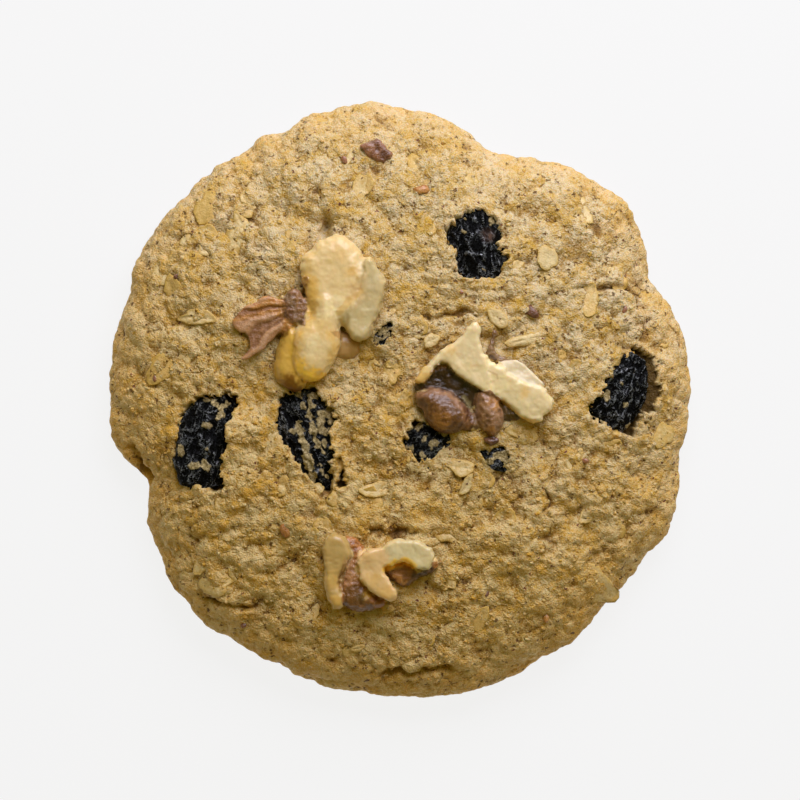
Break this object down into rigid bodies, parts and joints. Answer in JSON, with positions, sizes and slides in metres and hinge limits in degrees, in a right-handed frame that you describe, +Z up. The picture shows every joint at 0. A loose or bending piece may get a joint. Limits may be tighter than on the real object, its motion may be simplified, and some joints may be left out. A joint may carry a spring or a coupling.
{
  "type": "oatmeal raisin cookie",
  "caption": "Round craggy oatmeal cookie, domed on top and flat beneath, with raisins and walnut pieces baked into its top.",
  "frame": {"origin": "middle of the outline's box, on the flat underside", "axes": "+Z up out of the top, +Y along the outline's longer side, away from the hook-shaped walnut piece, +X to the right as seen from above"},
  "size_m": [0.0802, 0.0824, 0.0161],
  "materials": {
    "dough": "baked oat dough, golden brown, matte with a faint buttery sheen",
    "raisin_skin": "wrinkled near-black fruit skin, satin",
    "walnut_flesh": "toasted cream nut flesh, satin, with brown skin in its hollows",
    "walnut_skin": "brown papery nut skin, satin"
  },
  "bodies": {
    "root": {"cookie": "dough", "raisin_left": "raisin_skin", "raisin_middle": "raisin_skin", "raisin_upper": "raisin_skin", "raisin_right": "raisin_skin", "raisin_centre": "raisin_skin", "raisin_crest": "raisin_skin", "raisin_buried": "raisin_skin", "walnut_large": "walnut_flesh", "walnut_wedge": "walnut_flesh", "walnut_hook": "walnut_flesh", "walnut_chip": "walnut_skin"}
  },
  "joints": []
}
